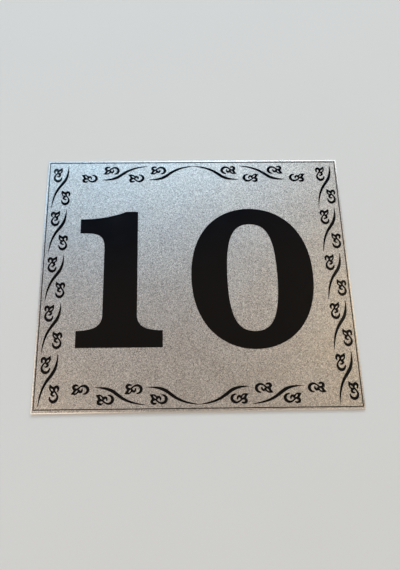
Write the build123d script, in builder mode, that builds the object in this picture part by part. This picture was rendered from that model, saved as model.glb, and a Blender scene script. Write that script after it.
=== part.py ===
"""House number plaque: a thin satin aluminium sheet printed in glossy black.

The sheet lies on its back, face up. X runs along its width, Y towards the top of the numerals and Z out
of the face, and the origin is in the middle of the back. The print is a film of ink on the face: two
numerals in the middle, a scroll border round them and a hairline rule close to the sheet's edge.
"""
import os
from math import hypot

from build123d import *

# Sheet
plate_width = 150.0
plate_height = 125.0          # along the right-hand edge
plate_thickness = 1.0
lower_edge_drop = 0.7         # the lower edge is cut out of square, lower at its left end by this much
edge_break = 0.15             # chamfer that takes the burr off the face's rim

# Film of ink on the face
ink_thickness = 0.1
print_shift = 0.2             # the numerals and the rows lie this much right of the rule's middle
print_drop = 0.2              # and this much below it
column_shift = 0.4            # the columns lie this much right of it

# Hairline rule
rule_inset = 0.8              # from the sheet's edge to the rule
rule_width = 0.4

# Scroll border, which repeats an S-shaped stem with a curl on either side of it
column_gap = 1.2              # from the rule to a column's outermost reach
row_gap = 1.6                 # from the rule to a row's outermost reach
unit_pitch = 24.1             # from one repeat to the next
curl_height = 8.4
curl_side = 2.13              # from the unit's middle to a curl's centre, across the border
curl_rise = 6.4               # from the unit's middle to a curl's centre, along the border
stem_height = 23.3
column_end_gap = 0.9          # least space between a column's end and the rule
row_end_gap = 3.0             # least space between a row's last curl and the column
stem_overrun = 0.2            # the two stems that meet in the middle of a row pass it by this much

# Figure one, with a slab foot and a flag that reaches as far left as the foot. A pull says how far a curve's
# two handles reach towards the corner that it rounds.
one_height = 68.1
one_stem_width = 16.4
one_foot_width = 40.8
one_foot_height = 8.0
one_bracket_height = 7.6      # the curve that joins the foot to the stem
one_crest_width = 5.9         # flat top of the stem
one_flag_drop = 3.95          # the flag's end lies this much below the crest
one_flag_depth = 7.45         # the flag's end is this deep
one_flag_root = 19.3          # the underside meets the stem this much below the crest
one_flag_bend = 9.5           # the flag's upper edge levels out this far from the crest
one_bracket_pull = (0.6, 0.8)
one_flag_pull = (0.62, 0.65)
one_underside_pull = (0.7, 0.93)

# Figure nought
zero_height = 70.55
zero_width = 59.3
zero_counter_height = 53.7
zero_counter_width = 24.35
zero_bowl_pull = (0.70, 0.50)
zero_counter_pull = (0.78, 0.66)
oval_facets = 22              # straight pieces in a quarter

# Setting of the two numerals
numeral_gap = 13.95           # between the foot of the one and the side of the nought
numeral_margin = 6.15         # least space between the numerals and the border

# A curl's brush strokes as drawn, (x, y, width) along each stroke, with the leaf and its slit as outlines
crescent_stroke = [
    (1.80, -1.22, 0.38), (1.68, -2.00, 0.74), (0.98, -3.08, 1.20), (-0.15, -3.43, 1.40), (-1.28, -2.80, 1.26),
    (-1.83, -1.50, 1.02), (-1.42, -0.15, 0.74), (-0.75, 0.72, 0.76), (-0.20, 1.30, 1.00),
]
hook_stroke = [
    (-1.58, 0.92, 0.42), (-2.02, 1.85, 0.92), (-1.80, 2.72, 1.18), (-1.18, 3.08, 1.38), (-0.50, 2.72, 1.18),
    (-0.22, 1.75, 1.00), (0.30, 0.75, 1.18), (0.92, 0.08, 1.18), (0.60, -0.58, 0.98), (-0.60, -0.70, 0.42),
]
leaf_outline = [
    (-0.32, 2.74), (0.00, 3.04), (0.88, 3.48), (1.92, 4.20), (2.14, 2.60), (1.88, 1.56), (1.12, 0.74),
    (0.30, 0.62), (-0.38, 1.60),
]
slit_outline = [(0.10, 1.15), (0.55, 2.00), (1.50, 2.42), (1.06, 1.54)]

# The stem's stroke as drawn, and the straight pieces on either side of each stroke
stem_stroke = [
    (3.06, 11.30, 0.14), (2.87, 7.60, 0.90), (1.78, 3.70, 1.48), (-0.76, 0.00, 1.40), (-2.92, -4.00, 1.04),
    (-4.06, -8.00, 0.68), (-4.65, -12.00, 0.14),
]
crescent_facets = (14, 10)
hook_facets = (18, 12)
stem_facets = (9, 9)


def brush(stroke, facets):
    """Closed ring of points round a tapered brush stroke.

    One smooth curve runs through the (x, y, width) points, so the stroke swells and thins as gently as it
    bends. Each rim lies half the width to one side of the curve.
    """
    curve = Spline(*stroke, mode=Mode.PRIVATE)
    rims = []
    for pieces, side in zip(facets, (1, -1)):
        rim = []
        for i in range(pieces + 1):
            spot = curve @ (i / pieces)
            along = curve % (i / pieces)
            reach = side * spot.Z / 2 / hypot(along.X, along.Y)
            rim.append((spot.X - along.Y * reach, spot.Y + along.X * reach))
        rims.append(rim)
    return rims[0] + rims[1][::-1]


def eased(start, corner, end, pulls, mode=Mode.ADD):
    """Curve that leaves its start and reaches its end along the lines to a corner, pulled towards it."""
    start, corner, end = Vector(start), Vector(corner), Vector(end)
    handles = start + (corner - start) * pulls[0], end + (corner - end) * pulls[1]
    return Bezier(start, *handles, end, mode=mode)


def oval(width, height, pulls):
    """Upright oval: one curve, drawn in short straight pieces and mirrored into four quarters."""
    a = width / 2
    b = height / 2
    quarter = eased((a, 0), (a, b), (0, b), pulls, mode=Mode.PRIVATE)
    with BuildSketch(mode=Mode.PRIVATE) as bowl:
        with BuildLine():
            Polyline(*[quarter @ (i / oval_facets) for i in range(oval_facets + 1)])
            mirror(about=Plane.YZ)
            mirror(about=Plane.XZ)
        make_face()
    return bowl.sketch


# One curl and one stem of the border, each about its own middle
with BuildSketch() as curl:
    for ring in (brush(crescent_stroke, crescent_facets), brush(hook_stroke, hook_facets), leaf_outline):
        with BuildLine():
            Polyline(*ring, close=True)
        make_face()
    with BuildLine():
        Polyline(*slit_outline, close=True)
    make_face(mode=Mode.SUBTRACT)
    scale(by=curl_height / curl.sketch.bounding_box().size.Y)

with BuildSketch() as turned_curl:
    mirror(curl.sketch, about=Plane.YZ)

with BuildSketch() as stem:
    with BuildLine():
        Polyline(*brush(stem_stroke, stem_facets), close=True)
    make_face()
    scale(by=stem_height / stem.sketch.bounding_box().size.Y)

# A unit of the border is a head, which is the stem with the curl at its upper left, and a tail curl
with BuildSketch() as head:
    add(stem.sketch)
    with Locations((-curl_side, curl_rise)):
        add(curl.sketch)

with BuildSketch() as tail:
    with Locations((curl_side, -curl_rise)):
        add(turned_curl.sketch)

# Places that follow from the sizes
rule_middle = (0, lower_edge_drop / 2)
print_middle = (rule_middle[0] + print_shift, rule_middle[1] - print_drop)
column_middle = (rule_middle[0] + column_shift, rule_middle[1])
rule_frame = rule_inset + rule_width
half_width = plate_width / 2 - rule_frame
half_height = plate_height / 2 - rule_frame
unit_reach = max(-head.sketch.bounding_box().min.X, tail.sketch.bounding_box().max.X)
column_x = half_width - column_gap - unit_reach
row_y = half_height - row_gap - unit_reach
field_width = 2 * (column_x - unit_reach)
field_height = 2 * (row_y - unit_reach)

column_length = 2 * (half_height - column_end_gap) - stem_height
column_units = int(column_length / unit_pitch) + 1
row_start = -stem.sketch.bounding_box().min.Y - stem_overrun
row_length = column_x - unit_reach - row_end_gap - curl_height / 2 - row_start + curl_rise
row_units = int(row_length / unit_pitch)

numerals_width = one_foot_width + numeral_gap + zero_width
numerals_height = max(one_height, zero_height)
numeral_fit = min(
    (field_width - 2 * numeral_margin) / numerals_width,
    (field_height - 2 * numeral_margin) / numerals_height,
)
one_x = print_middle[0] - (numerals_width - one_foot_width) / 2 * numeral_fit
zero_x = print_middle[0] + (numerals_width - zero_width) / 2 * numeral_fit
face = Plane.XY.offset(plate_thickness)

# Sheet, cut a little out of square along its lower edge
with BuildPart() as plate:
    with BuildSketch():
        with BuildLine():
            top = (plate_height + lower_edge_drop) / 2
            Polyline(
                (-plate_width / 2, top),
                (plate_width / 2, top),
                (plate_width / 2, top - plate_height),
                (-plate_width / 2, top - plate_height - lower_edge_drop),
                close=True,
            )
        make_face()
    extrude(amount=plate_thickness)
    chamfer(plate.faces().sort_by(Axis.Z)[-1].edges(), length=edge_break)

# Hairline rule round the face
with BuildPart() as edge_rule:
    with BuildSketch(face):
        with Locations(rule_middle):
            Rectangle(2 * (half_width + rule_width), 2 * (half_height + rule_width))
            Rectangle(2 * half_width, 2 * half_height, mode=Mode.SUBTRACT)
    extrude(amount=ink_thickness)

# Lower left half row: the unit turned a quarter, where the first has no tail and the last is only a tail
with BuildSketch() as rows:
    for step in range(row_units + 1):
        with Locations(Location((-row_start - step * unit_pitch, -row_y, 0), (0, 0, 90))):
            if step < row_units:
                add(head.sketch)
            if step > 0:
                add(tail.sketch)
    mirror(about=Plane.XZ)
    mirror(about=Plane.YZ)

# Scroll border: two like columns, and the half row mirrored into all four corners
with BuildPart() as scroll_border:
    with BuildSketch(face):
        with Locations(column_middle):
            with GridLocations(2 * column_x, unit_pitch, 2, column_units):
                add(head.sketch)
                add(tail.sketch)
        with Locations(print_middle):
            add(rows.sketch)
    extrude(amount=ink_thickness, dir=(0, 0, 1))

# Figure one, drawn from the middle of its foot's lower edge
foot = one_foot_width / 2
side = one_stem_width / 2
neck = one_foot_height + one_bracket_height
crest = side - one_crest_width
flag_tip = one_height - one_flag_drop
flag_low = flag_tip - one_flag_depth
flag_root = one_height - one_flag_root
with BuildSketch() as one_outline:
    with BuildLine():
        Polyline((-foot, one_foot_height), (-foot, 0), (foot, 0), (foot, one_foot_height))
        eased((foot, one_foot_height), (side, one_foot_height), (side, neck), one_bracket_pull)
        Polyline((side, neck), (side, one_height), (crest, one_height))
        eased((crest, one_height), (crest - one_flag_bend, flag_tip), (-foot, flag_tip), one_flag_pull)
        Line((-foot, flag_tip), (-foot, flag_low))
        eased((-foot, flag_low), (-side, flag_low), (-side, flag_root), one_underside_pull)
        Line((-side, flag_root), (-side, neck))
        eased((-side, neck), (-side, one_foot_height), (-foot, one_foot_height), one_bracket_pull[::-1])
    make_face()

with BuildPart() as numeral_one:
    with BuildSketch(face):
        with Locations((one_x, print_middle[1] - numeral_fit * one_height / 2)):
            add(scale(one_outline.sketch, by=numeral_fit, mode=Mode.PRIVATE))
    extrude(amount=ink_thickness, dir=(0, 0, 1))

# Figure nought: an oval bowl round a narrower counter with straighter sides
with BuildPart() as numeral_zero:
    with BuildSketch(face):
        with Locations((zero_x, print_middle[1])):
            add(oval(zero_width * numeral_fit, zero_height * numeral_fit, zero_bowl_pull))
            add(
                oval(zero_counter_width * numeral_fit, zero_counter_height * numeral_fit, zero_counter_pull),
                mode=Mode.SUBTRACT,
            )
    extrude(amount=ink_thickness, dir=(0, 0, 1))

plate.part.label = "plate"
edge_rule.part.label = "edge_rule"
scroll_border.part.label = "scroll_border"
numeral_one.part.label = "numeral_one"
numeral_zero.part.label = "numeral_zero"

os.makedirs("parts", exist_ok=True)
export_step(plate.part, "parts/plate.step")
export_step(edge_rule.part, "parts/edge_rule.step")
export_step(scroll_border.part, "parts/scroll_border.step")
export_step(numeral_one.part, "parts/numeral_one.step")
export_step(numeral_zero.part, "parts/numeral_zero.step")
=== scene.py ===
"""Looks of the house number plaque: a satin sheet, films of glossy ink, a stage and a camera.

Everything is in metres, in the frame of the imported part: the sheet lies on its back, X runs along its
width, Y towards the top of the numerals and Z out of the face. Every piece takes its outlines from the CAD
node that it stands for. The ink's outlines are smoothed, and a small profile carried round each outline
gives a piece its edge.
"""
import math

import bpy
import numpy as np
from bpy.props import FloatProperty, FloatVectorProperty, IntProperty, PointerProperty
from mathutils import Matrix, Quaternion, Vector
from mathutils.geometry import delaunay_2d_cdt


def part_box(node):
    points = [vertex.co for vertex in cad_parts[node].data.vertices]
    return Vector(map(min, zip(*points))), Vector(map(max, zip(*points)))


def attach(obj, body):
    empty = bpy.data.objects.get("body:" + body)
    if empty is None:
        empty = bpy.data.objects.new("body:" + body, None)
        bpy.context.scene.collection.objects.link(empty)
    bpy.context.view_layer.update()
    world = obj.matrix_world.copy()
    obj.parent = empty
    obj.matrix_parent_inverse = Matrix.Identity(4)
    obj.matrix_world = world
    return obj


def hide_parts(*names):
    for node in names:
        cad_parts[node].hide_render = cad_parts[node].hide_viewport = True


bl_info = {
    "name": "House Number Plaque",
    "version": (1, 0, 0),
    "blender": (4, 5, 0),
    "location": "View3D > Sidebar > Plaque",
    "description": "Dresses the packed plaque in satin aluminium and glossy ink, on a plain stage",
    "category": "Object",
}

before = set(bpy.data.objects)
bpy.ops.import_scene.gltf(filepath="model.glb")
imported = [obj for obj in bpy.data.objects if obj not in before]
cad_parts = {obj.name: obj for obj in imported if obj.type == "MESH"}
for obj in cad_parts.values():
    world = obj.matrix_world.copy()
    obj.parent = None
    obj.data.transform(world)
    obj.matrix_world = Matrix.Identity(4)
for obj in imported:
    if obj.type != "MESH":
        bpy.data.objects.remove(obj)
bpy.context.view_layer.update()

MM = 0.001
BODY = "root"

# Outlines and meshes
MERGE_DIGITS = 7                  # decimals of a metre to which points that coincide agree
LEVEL_TOLERANCE = 0.01 * MM       # a triangle that stays this close to the lowest point lies on the back
MITER_LIMIT = 2.5                 # longest step at a corner, against the step of a straight side
SMALLEST_SQUARE = 1e-9            # keeps a miter finite where an outline turns right back
FILL_INSIDE = 1                   # the fill's kind of result that keeps the triangles inside the outlines
FILL_NEARNESS = 1e-7              # in the fill, points nearer than this many millimetres become one
SHARP_ANGLE = math.radians(35)    # an edge that bends by more than this is shaded sharp

# Finishes. A span is the range of a noise that is stretched to its full effect.
GRAIN_DETAIL = 2.0
GRAIN_FADING = 0.6                # share of each octave that the next finer one keeps
GRAIN_SPAN = (0.36, 0.64)
GRAIN_BUMP = 0.25
GRAIN_DEPTH = 0.05 * MM
DRIFT_DETAIL = 2.0
DRIFT_FADING = 0.5
DRIFT_SPAN = (0.3, 0.7)
SATIN_DRIFT = 14 * MM
SATIN_SWING = (-0.03, 0.03)       # added to the roughness
INK_DRIFT = 9 * MM
INK_SWING = (-0.03, 0.05)
INK_TINT = 1.6                    # lightest ink against the darkest
PEEL_SIZE = 0.9 * MM
PEEL_DETAIL = 1.0
PEEL_BUMP = 0.12
PEEL_DEPTH = 0.02 * MM
FLOOR_DRIFT = 60 * MM
FLOOR_DETAIL = 3.0
FLOOR_SHADE = 0.97                # darkest floor against the lightest
FLOOR_ROUGHNESS = 0.9
FLOOR_SPECULAR = 0.1

# A Mix node's first input, second input and result, for colours and for numbers
COLOUR_SOCKETS = (6, 7, 2)
NUMBER_SOCKETS = (2, 3, 0)

# Surroundings, which change with the parts of a direction's unit vector
CEILING_RISE = (0.45, 0.85)       # upward part over which the horizon turns into the ceiling
FRONT_SPAN = (-0.8, 0.15)         # backward part over which the ceiling goes from its front to its middle
BACK_SPAN = (0.27, 0.41)          # part along the way below over which it goes on to its back
BACK_WAY = (-0.2, 1.0, 0.0)       # backwards and a little to the left

# Lamps by name, each with its place, its width and depth, and its fan
OPEN_FAN = math.pi
LAMPS = {
    "back": ((0.40, 1.60, 0.85), (2.6, 0.45), math.radians(60)),
    "sky": ((-0.15, 0.70, 0.80), (1.0, 0.25), OPEN_FAN),
    "side": ((0.60, 0.10, 0.68), (0.4, 0.4), OPEN_FAN),
    "corner": ((-0.60, -0.30, 0.70), (0.6, 0.6), OPEN_FAN),
    "front": ((0.10, -0.62, 0.95), (1.6, 0.10), OPEN_FAN),
}
NEAR_CLIP = 10 * MM               # nothing closer to the camera is drawn


# Settings

class PlaqueSheet(bpy.types.PropertyGroup):
    """Sizes and finish of the aluminium sheet."""

    roll_width: FloatProperty(
        name="Roll Width", description="Strip along the cut edge where shears have rolled the face over",
        default=0.45 * MM, unit="LENGTH", precision=5,
    )
    roll_drop: FloatProperty(
        name="Roll Drop", description="Fall of the face at the cut edge",
        default=0.10 * MM, unit="LENGTH", precision=5,
    )
    roll_curve: FloatProperty(
        name="Roll Curve", description="Power of the fall across the strip, where 1 is a straight bevel",
        default=1.3, min=1.0,
    )
    roll_steps: IntProperty(
        name="Roll Steps", description="Rings of faces across the rolled strip", default=6, min=2,
    )
    burr_break: FloatProperty(
        name="Burr Break", description="Bevel that takes the burr off the back's rim",
        default=0.06 * MM, unit="LENGTH", precision=5,
    )
    colour: FloatVectorProperty(
        name="Metal", description="Colour of the satin face",
        default=(0.536, 0.50, 0.456), subtype="COLOR",
    )
    # Lighter than the face: bare metal on the cut edge, and a painted highlight where it fades across the
    # rolled strip
    rim_colour_with_painted_highlight: FloatVectorProperty(
        name="Cut Edge", description="Colour of the bare cut edge",
        default=(0.78, 0.77, 0.76), subtype="COLOR",
    )
    grain: FloatProperty(
        name="Grain", description="Size of a speck in the satin finish",
        default=0.28 * MM, unit="LENGTH", precision=5,
    )
    grain_contrast: FloatProperty(
        name="Grain Contrast", description="How much the specks differ in tone",
        default=0.66, subtype="FACTOR", min=0.0, max=1.0,
    )
    roughness: FloatProperty(
        name="Roughness", description="Mean roughness of the satin face",
        default=0.42, subtype="FACTOR", min=0.0, max=1.0,
    )
    rim_roughness: FloatProperty(
        name="Edge Roughness", description="Roughness of the burnished cut edge",
        default=0.24, subtype="FACTOR", min=0.0, max=1.0,
    )


class PlaqueInk(bpy.types.PropertyGroup):
    """Form and finish of the film of ink."""

    shoulder: FloatProperty(
        name="Shoulder", description="Radius of the film's rounded rim",
        default=0.03 * MM, unit="LENGTH", precision=6,
    )
    shoulder_steps: IntProperty(
        name="Shoulder Steps", description="Rings of faces round the rim", default=4, min=1,
    )
    pieces: IntProperty(
        name="Pieces", description="Short sides that each side of a curved outline is smoothed into",
        default=4, min=1,
    )
    corner: FloatProperty(
        name="Corner", description="An outline that turns by more than this keeps its corner",
        default=math.radians(40), subtype="ANGLE",
    )
    colour: FloatVectorProperty(
        name="Ink", description="Colour of the darkest ink",
        default=(0.0010, 0.0009, 0.0009), subtype="COLOR",
    )
    roughness: FloatProperty(
        name="Roughness", description="Roughness of the ink before it drifts",
        default=0.14, subtype="FACTOR", min=0.0, max=1.0,
    )
    specular: FloatProperty(
        name="Specular", description="Strength of the ink's reflections",
        default=0.20, subtype="FACTOR", min=0.0, max=1.0,
    )


class PlaqueStage(bpy.types.PropertyGroup):
    """Floor, light and camera."""

    floor_colour: FloatVectorProperty(
        name="Floor", description="Colour of the floor", default=(0.70, 0.695, 0.68), subtype="COLOR",
    )
    floor_size: FloatProperty(
        name="Floor Size", description="Side of the square floor", default=2.4, unit="LENGTH",
    )
    horizon: FloatVectorProperty(
        name="Horizon", description="Light of the pale surroundings",
        default=(0.455, 0.446, 0.437), subtype="COLOR",
    )
    ceiling_front: FloatVectorProperty(
        name="Ceiling Front", description="Light of the dim ceiling above the front",
        default=(0.11, 0.09, 0.075), subtype="COLOR",
    )
    ceiling_middle: FloatVectorProperty(
        name="Ceiling Middle", description="Light of the warm ceiling overhead",
        default=(0.505, 0.42, 0.36), subtype="COLOR",
    )
    ceiling_back: FloatVectorProperty(
        name="Ceiling Back", description="Light of the cool ceiling above the back",
        default=(0.17, 0.23, 0.395), subtype="COLOR",
    )
    back_colour: FloatVectorProperty(
        name="Back Light", description="Colour of the wide low light far behind the plaque",
        default=(0.905, 0.99, 1.0), subtype="COLOR",
    )
    back_power: FloatProperty(
        name="Back Power", description="Power of the light far behind", default=4.2, unit="POWER",
    )
    sky_colour: FloatVectorProperty(
        name="Sky Light", description="Colour of the cool strip nearer behind the plaque",
        default=(0.435, 0.73, 1.0), subtype="COLOR",
    )
    sky_power: FloatProperty(
        name="Sky Power", description="Power of the cool strip", default=3.4, unit="POWER",
    )
    side_colour: FloatVectorProperty(
        name="Side Light", description="Colour of the fill on the right",
        default=(1.0, 0.82, 0.50), subtype="COLOR",
    )
    side_power: FloatProperty(
        name="Side Power", description="Power of the fill on the right", default=0.73, unit="POWER",
    )
    corner_colour: FloatVectorProperty(
        name="Corner Light", description="Colour of the fill on the near left",
        default=(1.0, 0.87, 0.69), subtype="COLOR",
    )
    corner_power: FloatProperty(
        name="Corner Power", description="Power of the fill on the near left", default=1.65, unit="POWER",
    )
    front_colour: FloatVectorProperty(
        name="Front Light", description="Colour of the narrow light in front",
        default=(1.0, 0.87, 0.75), subtype="COLOR",
    )
    front_power: FloatProperty(
        name="Front Power", description="Power of the narrow light", default=1.6, unit="POWER",
    )
    azimuth: FloatProperty(
        name="Azimuth", description="Turn of the camera round the plaque",
        default=math.radians(-2.38), subtype="ANGLE",
    )
    elevation: FloatProperty(
        name="Elevation", description="Angle of the camera above the floor",
        default=math.radians(75.61), subtype="ANGLE",
    )
    roll: FloatProperty(
        name="Roll", description="Turn of the camera about its own axis",
        default=math.radians(1.82), subtype="ANGLE",
    )
    distance: FloatProperty(
        name="Distance", description="From the camera to the point it aims at",
        default=196.4 * MM, unit="LENGTH",
    )
    target: FloatVectorProperty(
        name="Target", description="Point that the camera aims at",
        default=(-10.6 * MM, -3.86 * MM, 0.0), subtype="XYZ", unit="LENGTH",
    )
    lens: FloatProperty(name="Lens", description="Focal length", default=25.59, unit="CAMERA")
    shift: FloatProperty(
        name="Shift", description="Sideways shift of the picture on the lens axis", default=0.0459,
    )


# Outlines

def node_triangles(node):
    """Points and triangles of a CAD node, with the points that coincide made one."""
    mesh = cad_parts[node].data
    points = np.empty(len(mesh.vertices) * 3, np.float32)
    mesh.vertices.foreach_get("co", points)
    corners = np.empty(len(mesh.loops), np.int32)
    mesh.loops.foreach_get("vertex_index", corners)
    places, index = np.unique(points.reshape(-1, 3).round(MERGE_DIGITS), axis=0, return_inverse=True)
    return places, index.ravel()[corners].reshape(-1, 3)


def ring_order(following):
    """Points of closed rings in order, one array for each ring, where following[i] comes after point i.

    Each point's jump along its ring doubles at every round. The first rounds find the lowest point of each
    ring, and the next ones count the steps from every point on to it.
    """
    own = np.arange(len(following))
    rounds = range(len(following).bit_length())
    lowest = own
    jump = following
    for _ in rounds:
        lowest = np.minimum(lowest, lowest[jump])
        jump = jump[jump]
    steps = (lowest != own).astype(int)
    jump = np.where(lowest == own, own, following)
    for _ in rounds:
        steps = steps + steps[jump]
        jump = jump[jump]
    order = np.lexsort((-steps, lowest))
    return np.split(order, np.flatnonzero(np.diff(lowest[order])) + 1)


def outline_rings(node):
    """Outlines of a CAD node's level back as (n, 2) arrays, with the material on their left from above.

    A side of a triangle that no neighbour runs back along lies on an outline. The back faces down, so its
    sides are taken the other way round.
    """
    points, triangles = node_triangles(node)
    level = points[triangles][:, :, 2].max(axis=1) < points[:, 2].min() + LEVEL_TOLERANCE
    back = triangles[level]
    sides = np.concatenate([back[:, [1, 0]], back[:, [2, 1]], back[:, [0, 2]]])
    there = sides[:, 0] * len(points) + sides[:, 1]
    again = sides[:, 1] * len(points) + sides[:, 0]
    rim = sides[~np.isin(there, again)]
    used, rim = np.unique(rim, return_inverse=True)
    rim = rim.reshape(-1, 2)
    following = np.empty(len(used), int)
    following[rim[:, 0]] = rim[:, 1]
    return [points[used[ring], :2].astype(float) for ring in ring_order(following)]


def smooth_ring(ring, pieces, corner):
    """Outline with every side bent into a cubic curve and drawn in short pieces.

    The cubic joins the two points of its side, and leaves and reaches them at the speed of the side's
    length. Its direction at a point is the one from the point before to the point after. Where the outline
    turns by more than the corner angle, it is the side's own, and a side between two corners stays whole.
    """
    after = np.roll(ring, -1, axis=0)
    before = np.roll(ring, 1, axis=0)
    length = np.linalg.norm(after - ring, axis=1, keepdims=True)
    ahead = (after - ring) / length
    behind = np.roll(ahead, 1, axis=0)
    through = (after - before) / np.linalg.norm(after - before, axis=1, keepdims=True)
    sharp = (ahead * behind).sum(axis=1, keepdims=True) < math.cos(corner)
    leave = np.where(sharp, ahead, through) * length
    arrive = np.roll(np.where(sharp, behind, through), -1, axis=0) * length
    t = (np.arange(pieces) / pieces)[None, :, None]
    curve = (
        (1 + 2 * t) * (1 - t) ** 2 * ring[:, None] + t * (1 - t) ** 2 * leave[:, None]
        + t ** 2 * (3 - 2 * t) * after[:, None] - t ** 2 * (1 - t) * arrive[:, None]
    )
    kept = np.ones((len(ring), pieces), bool)
    kept[(sharp & np.roll(sharp, -1, axis=0)).ravel(), 1:] = False
    return curve[kept]


def ring_miters(ring):
    """Step at every point that moves both of its sides to their left by one.

    It is twice the sum of the two sides' left-hand unit normals, over the square of that sum.
    """
    ahead = np.roll(ring, -1, axis=0) - ring
    ahead /= np.linalg.norm(ahead, axis=1, keepdims=True)
    left = np.stack([-ahead[:, 1], ahead[:, 0]], axis=1)
    both = left + np.roll(left, 1, axis=0)
    miter = 2 * both / (both ** 2).sum(axis=1, keepdims=True).clip(SMALLEST_SQUARE)
    size = np.linalg.norm(miter, axis=1, keepdims=True)
    return miter * np.minimum(1, MITER_LIMIT / size)


# Meshes

def fill(plan, loops):
    """Triangles of the area inside an odd number of closed outlines, as rows of three points, facing up.

    The fill works in millimetres and takes outlines that run anticlockwise.
    """
    x, y = plan.T
    turned = []
    for loop in loops:
        area = (x[loop] * np.roll(y[loop], -1) - y[loop] * np.roll(x[loop], -1)).sum()
        turned.append((loop if area > 0 else loop[::-1]).tolist())
    _, _, faces, origin, _, owners = delaunay_2d_cdt(
        (plan / MM).tolist(), [], turned, FILL_INSIDE, FILL_NEARNESS,
    )
    source = np.array([places[0] for places in origin])
    odd = np.array([len(found) % 2 == 1 for found in owners])
    triangles = source[np.array(faces)[odd]]
    a, b, c = plan[triangles].transpose(1, 0, 2)
    turn = (b[:, 0] - a[:, 0]) * (c[:, 1] - a[:, 1]) - (b[:, 1] - a[:, 1]) * (c[:, 0] - a[:, 0])
    return np.where(turn[:, None] > 0, triangles, triangles[:, ::-1])


def slab(rings, profile):
    """Points and faces of a closed slab: a profile carried round each outline, level on its face and back.

    The profile's rows are (inset, height), from the back's rim to the face's. A point of level k lies at
    the outline's point plus the inset of k times the miter, at the height of k.
    """
    outline = np.concatenate(rings)
    miter = np.concatenate([ring_miters(ring) for ring in rings])
    starts = np.cumsum([0] + [len(ring) for ring in rings])
    loops = [np.arange(a, b) for a, b in zip(starts, starts[1:])]
    following = np.concatenate([np.roll(loop, -1) for loop in loops])
    count = len(outline)
    inset = profile[:, 0, None, None]
    plan = outline + inset * miter
    height = np.broadcast_to(profile[:, 1, None, None], plan.shape[:2] + (1,))
    points = np.concatenate([plan, height], axis=2).reshape(-1, 3)
    own = np.arange(count)
    lower = (np.arange(len(profile) - 1) * count)[:, None]
    upper = lower + count
    bands = np.stack([lower + own, lower + following, upper + following, upper + own], axis=2)
    face = fill(plan[-1], loops) + (len(profile) - 1) * count
    back = fill(plan[0], loops)[:, ::-1]
    return points, bands.reshape(-1, 4).tolist() + face.tolist() + back.tolist()


def level_face(mesh, points):
    """Upright normals at every corner on the level face and its rim, so that the face shades flat."""
    corners = np.empty(len(mesh.loops), np.int32)
    mesh.loops.foreach_get("vertex_index", corners)
    normals = np.empty(len(mesh.loops) * 3, np.float32)
    mesh.corner_normals.foreach_get("vector", normals)
    normals = normals.reshape(-1, 3)
    normals[points[corners, 2] == points[:, 2].max()] = (0, 0, 1)
    mesh.normals_split_custom_set(normals)


def add_piece(name, node, points, faces, material):
    """Object of a finished mesh that stands for a CAD node and rides on its body."""
    mesh = bpy.data.meshes.new(name)
    mesh.from_pydata(points, [], faces)
    if mesh.validate():
        raise RuntimeError(f"{name} has faces that a mesh can't keep")
    mesh.shade_smooth()
    mesh.set_sharp_from_angle(angle=SHARP_ANGLE)
    level_face(mesh, points)
    mesh.materials.append(material)
    piece = bpy.data.objects.new(name, mesh)
    bpy.context.scene.collection.objects.link(piece)
    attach(piece, BODY)
    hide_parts(node)
    return piece


# Materials

def new_material(name):
    """Material with a plain Principled surface, and its nodes, links and shader."""
    material = bpy.data.materials.new(name)
    material.use_nodes = True
    nodes = material.node_tree.nodes
    return material, nodes, material.node_tree.links, nodes["Principled BSDF"]


def noise(nodes, links, coordinates, size, detail, fading=DRIFT_FADING):
    """Noise texture whose features are about as large as the size given."""
    texture = nodes.new("ShaderNodeTexNoise")
    texture.inputs["Scale"].default_value = 1 / size
    texture.inputs["Detail"].default_value = detail
    texture.inputs["Roughness"].default_value = fading
    links.new(coordinates, texture.inputs["Vector"])
    return texture.outputs["Fac"]


def remap(nodes, links, value, span, result=(0.0, 1.0)):
    """Value from one range brought to another and held there."""
    node = nodes.new("ShaderNodeMapRange")
    for name, number in zip(("From Min", "From Max", "To Min", "To Max"), (*span, *result)):
        node.inputs[name].default_value = number
    links.new(value, node.inputs["Value"])
    return node.outputs["Result"]


def blend(nodes, links, factor, first, second):
    """Mix of two colours, each a plain one or a node's output."""
    node = nodes.new("ShaderNodeMix")
    node.data_type = "RGBA"
    links.new(factor, node.inputs["Factor"])
    first_input, second_input, result = COLOUR_SOCKETS
    for colour, index in ((first, first_input), (second, second_input)):
        if isinstance(colour, bpy.types.NodeSocket):
            links.new(colour, node.inputs[index])
        else:
            node.inputs[index].default_value = (*colour, 1.0)
    return node.outputs[result]


def ease(nodes, links, factor, first, second):
    """Value that goes from a node's output to a plain number."""
    node = nodes.new("ShaderNodeMix")
    links.new(factor, node.inputs["Factor"])
    first_input, second_input, result = NUMBER_SOCKETS
    links.new(first, node.inputs[first_input])
    node.inputs[second_input].default_value = second
    return node.outputs[result]


def bump(nodes, links, height, strength, depth):
    """Normal of a surface raised by a height from 0 to 1."""
    node = nodes.new("ShaderNodeBump")
    node.inputs["Strength"].default_value = strength
    node.inputs["Distance"].default_value = depth
    links.new(height, node.inputs["Height"])
    return node.outputs["Normal"]


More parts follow.
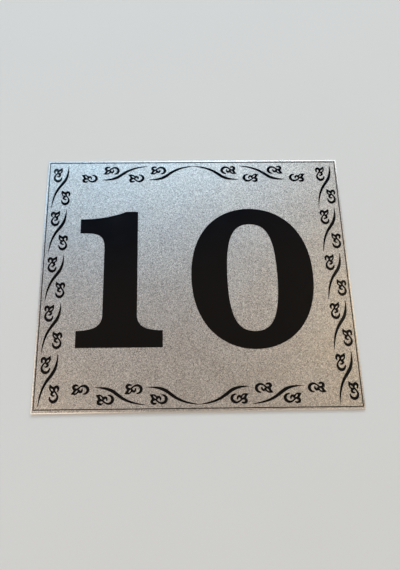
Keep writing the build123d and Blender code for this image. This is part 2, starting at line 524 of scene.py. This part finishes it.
def satin_aluminium(settings):
    """Satin aluminium with a speckled grain, a bare bright cut edge where the rim attribute is 1, and a
    painted highlight where it fades across the rolled strip.
    """
    material, nodes, links, shader = new_material("satin_aluminium")
    place = nodes.new("ShaderNodeTexCoord").outputs["Object"]
    grain = noise(nodes, links, place, settings.grain, GRAIN_DETAIL, GRAIN_FADING)
    dark = [channel * (1 - settings.grain_contrast) for channel in settings.colour]
    light = [min(1.0, channel * (1 + settings.grain_contrast)) for channel in settings.colour]
    speckle = blend(nodes, links, remap(nodes, links, grain, GRAIN_SPAN), dark, light)
    rim = nodes.new("ShaderNodeAttribute")
    rim.attribute_name = "rim"
    edge = rim.outputs["Fac"]
    # The lighter colour on the rim is bare metal on the cut edge and a painted highlight across the rolled
    # strip
    links.new(blend(nodes, links, edge, speckle, settings.rim_colour_with_painted_highlight), shader.inputs["Base Color"])
    drift = noise(nodes, links, place, SATIN_DRIFT, DRIFT_DETAIL)
    swing = [settings.roughness + change for change in SATIN_SWING]
    satin = remap(nodes, links, drift, DRIFT_SPAN, swing)
    links.new(ease(nodes, links, edge, satin, settings.rim_roughness), shader.inputs["Roughness"])
    links.new(bump(nodes, links, grain, GRAIN_BUMP, GRAIN_DEPTH), shader.inputs["Normal"])
    shader.inputs["Metallic"].default_value = 1.0
    return material


def glossy_ink(settings):
    """Black ink with a faint orange peel, whose tone and roughness drift a little."""
    material, nodes, links, shader = new_material("glossy_ink")
    place = nodes.new("ShaderNodeTexCoord").outputs["Object"]
    drift = noise(nodes, links, place, INK_DRIFT, DRIFT_DETAIL)
    tint = [channel * INK_TINT for channel in settings.colour]
    links.new(blend(nodes, links, drift, settings.colour, tint), shader.inputs["Base Color"])
    swing = [settings.roughness + change for change in INK_SWING]
    links.new(remap(nodes, links, drift, DRIFT_SPAN, swing), shader.inputs["Roughness"])
    peel = noise(nodes, links, place, PEEL_SIZE, PEEL_DETAIL)
    links.new(bump(nodes, links, peel, PEEL_BUMP, PEEL_DEPTH), shader.inputs["Normal"])
    shader.inputs["Specular IOR Level"].default_value = settings.specular
    return material


def floor_paint(settings):
    """Matt pale floor with a hardly visible unevenness."""
    material, nodes, links, shader = new_material("pale_floor")
    place = nodes.new("ShaderNodeTexCoord").outputs["Object"]
    drift = noise(nodes, links, place, FLOOR_DRIFT, FLOOR_DETAIL)
    shade = [channel * FLOOR_SHADE for channel in settings.floor_colour]
    links.new(blend(nodes, links, drift, shade, settings.floor_colour), shader.inputs["Base Color"])
    shader.inputs["Roughness"].default_value = FLOOR_ROUGHNESS
    shader.inputs["Specular IOR Level"].default_value = FLOOR_SPECULAR
    return material


# Pieces

def ink_profile(settings, bottom, top):
    """Upright rim and a quarter round of the shoulder's radius, from the film's back to its face."""
    turn = np.linspace(0, math.pi / 2, settings.shoulder_steps + 1)
    inset = settings.shoulder * (1 - np.cos(turn))
    height = top - settings.shoulder * (1 - np.sin(turn))
    return np.vstack([[0, bottom], np.stack([inset, height], axis=1)])


def add_ink(context, node):
    """Film of the one ink inside a CAD node's outlines, smoothed and with a rounded rim."""
    settings = context.scene.plaque_ink
    low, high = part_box(node)
    rings = [smooth_ring(ring, settings.pieces, settings.corner) for ring in outline_rings(node)]
    points, faces = slab(rings, ink_profile(settings, low.z, high.z))
    material = bpy.data.materials.get("glossy_ink") or glossy_ink(settings)
    add_piece(f"{node}_film", node, points, faces, material)


class PLAQUE_OT_sheet(bpy.types.Operator):
    """Builds the sheet with its rolled and cut edge"""

    bl_idname = "plaque.sheet"
    bl_label = "Build Sheet"

    def execute(self, context):
        """Profile up the cut edge and across the rolled strip.

        Across the strip the face falls as a power of the way out. The rim attribute is 1 on the cut edge,
        fades to 0 across the strip and is 0 on the back.
        """
        settings = context.scene.plaque_sheet
        low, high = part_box("plate")
        share = np.linspace(0, 1, settings.roll_steps + 1)
        fall = settings.roll_drop * (1 - share) ** settings.roll_curve
        roll = np.stack([settings.roll_width * share, high.z - fall], axis=1)
        burr = settings.burr_break
        profile = np.vstack([[burr, low.z], [0, low.z + burr], roll])
        points, faces = slab(outline_rings("plate"), profile)
        piece = add_piece("sheet", "plate", points, faces, satin_aluminium(settings))
        # The rim attribute brings in the lighter cut edge colour, which fades across the rolled strip as a
        # painted highlight
        rim = np.clip(1 - profile[:, 0] / settings.roll_width, 0, 1)
        rim[0] = 0
        attribute = piece.data.attributes.new("rim", "FLOAT", "POINT")
        attribute.data.foreach_set("value", np.repeat(rim, len(points) // len(profile)))
        return {"FINISHED"}


class PLAQUE_OT_border(bpy.types.Operator):
    """Prints the scroll border and the rule round it"""

    bl_idname = "plaque.border"
    bl_label = "Print Border"

    def execute(self, context):
        """One film for the rule and one for all the scrolls."""
        for node in ("edge_rule", "scroll_border"):
            add_ink(context, node)
        return {"FINISHED"}


class PLAQUE_OT_numerals(bpy.types.Operator):
    """Prints the two numerals"""

    bl_idname = "plaque.numerals"
    bl_label = "Print Numerals"

    def execute(self, context):
        """One film for each numeral."""
        for node in ("numeral_one", "numeral_zero"):
            add_ink(context, node)
        return {"FINISHED"}


# Stage

def add_floor(settings):
    """Square floor that the plaque lies on."""
    half = settings.floor_size / 2
    corners = [(-half, -half, 0), (half, -half, 0), (half, half, 0), (-half, half, 0)]
    mesh = bpy.data.meshes.new("floor")
    mesh.from_pydata(corners, [], [(0, 1, 2, 3)])
    mesh.materials.append(floor_paint(settings))
    floor = bpy.data.objects.new("floor", mesh)
    bpy.context.scene.collection.objects.link(floor)


def add_world(settings):
    """Pale surroundings under a ceiling that is dim in front, warm overhead and cool at the back."""
    world = bpy.data.worlds.new("studio")
    world.use_nodes = True
    bpy.context.scene.world = world
    nodes = world.node_tree.nodes
    links = world.node_tree.links
    direction = nodes.new("ShaderNodeTexCoord").outputs["Generated"]
    parts = nodes.new("ShaderNodeSeparateXYZ")
    links.new(direction, parts.inputs["Vector"])
    reach = nodes.new("ShaderNodeVectorMath")
    reach.operation = "DOT_PRODUCT"
    reach.inputs[1].default_value = BACK_WAY
    links.new(direction, reach.inputs[0])
    front = remap(nodes, links, parts.outputs["Y"], FRONT_SPAN)
    back = remap(nodes, links, reach.outputs["Value"], BACK_SPAN)
    rise = remap(nodes, links, parts.outputs["Z"], CEILING_RISE)
    ceiling = blend(nodes, links, front, settings.ceiling_front, settings.ceiling_middle)
    ceiling = blend(nodes, links, back, ceiling, settings.ceiling_back)
    links.new(blend(nodes, links, rise, settings.horizon, ceiling), nodes["Background"].inputs["Color"])


def add_light(name, colour, power):
    """Rectangular soft light of that name, which faces the plaque and shines no wider than its fan."""
    place, (width, depth), fan = LAMPS[name]
    lamp = bpy.data.lights.new(f"{name}_light", "AREA")
    lamp.shape = "RECTANGLE"
    lamp.size = width
    lamp.size_y = depth
    lamp.color = colour
    lamp.energy = power
    lamp.spread = fan
    light = bpy.data.objects.new(f"{name}_light", lamp)
    light.location = place
    light.rotation_euler = (-Vector(place)).to_track_quat("-Z", "Y").to_euler()
    bpy.context.scene.collection.objects.link(light)


def add_camera(settings):
    """Camera that looks at its target from that azimuth, elevation and distance, turned by the roll."""
    lens = bpy.data.cameras.new("camera")
    lens.lens = settings.lens
    lens.shift_x = settings.shift
    lens.clip_start = NEAR_CLIP
    camera = bpy.data.objects.new("camera", lens)
    level = math.cos(settings.elevation)
    back = Vector((
        math.sin(settings.azimuth) * level,
        -math.cos(settings.azimuth) * level,
        math.sin(settings.elevation),
    ))
    camera.location = Vector(settings.target) + back * settings.distance
    camera.rotation_mode = "QUATERNION"
    camera.rotation_quaternion = (-back).to_track_quat("-Z", "Y") @ Quaternion((0, 0, 1), settings.roll)
    bpy.context.scene.collection.objects.link(camera)
    bpy.context.scene.camera = camera


class PLAQUE_OT_stage(bpy.types.Operator):
    """Sets up the floor, the light and the camera"""

    bl_idname = "plaque.stage"
    bl_label = "Set Stage"

    def execute(self, context):
        """Floor and surroundings first, then the lamps and the camera."""
        settings = context.scene.plaque_stage
        add_floor(settings)
        add_world(settings)
        for name in LAMPS:
            add_light(name, getattr(settings, f"{name}_colour"), getattr(settings, f"{name}_power"))
        add_camera(settings)
        context.scene.view_settings.view_transform = "Standard"
        return {"FINISHED"}


# Panel and registration

class PLAQUE_PT_panel(bpy.types.Panel):
    """Steps and settings of the plaque"""

    bl_idname = "PLAQUE_PT_panel"
    bl_label = "House Number Plaque"
    bl_space_type = "VIEW_3D"
    bl_region_type = "UI"
    bl_category = "Plaque"

    def draw(self, context):
        """One box for each group of settings, with the operators that use it."""
        steps = {
            "plaque_sheet": (PLAQUE_OT_sheet,),
            "plaque_ink": (PLAQUE_OT_border, PLAQUE_OT_numerals),
            "plaque_stage": (PLAQUE_OT_stage,),
        }
        for group, operators in steps.items():
            box = self.layout.box()
            settings = getattr(context.scene, group)
            for name in settings.__annotations__:
                box.prop(settings, name)
            for operator in operators:
                box.operator(operator.bl_idname)


classes = (
    PlaqueSheet, PlaqueInk, PlaqueStage,
    PLAQUE_OT_sheet, PLAQUE_OT_border, PLAQUE_OT_numerals, PLAQUE_OT_stage, PLAQUE_PT_panel,
)


def register():
    """Adds the classes and the scene's settings."""
    for item in classes:
        bpy.utils.register_class(item)
    bpy.types.Scene.plaque_sheet = PointerProperty(type=PlaqueSheet)
    bpy.types.Scene.plaque_ink = PointerProperty(type=PlaqueInk)
    bpy.types.Scene.plaque_stage = PointerProperty(type=PlaqueStage)


def unregister():
    """Takes the settings and the classes away again."""
    del bpy.types.Scene.plaque_stage
    del bpy.types.Scene.plaque_ink
    del bpy.types.Scene.plaque_sheet
    for item in reversed(classes):
        bpy.utils.unregister_class(item)


def main():
    register()
    bpy.ops.plaque.sheet()
    bpy.ops.plaque.border()
    bpy.ops.plaque.numerals()
    bpy.ops.plaque.stage()


if __name__ == "__main__":
    main()
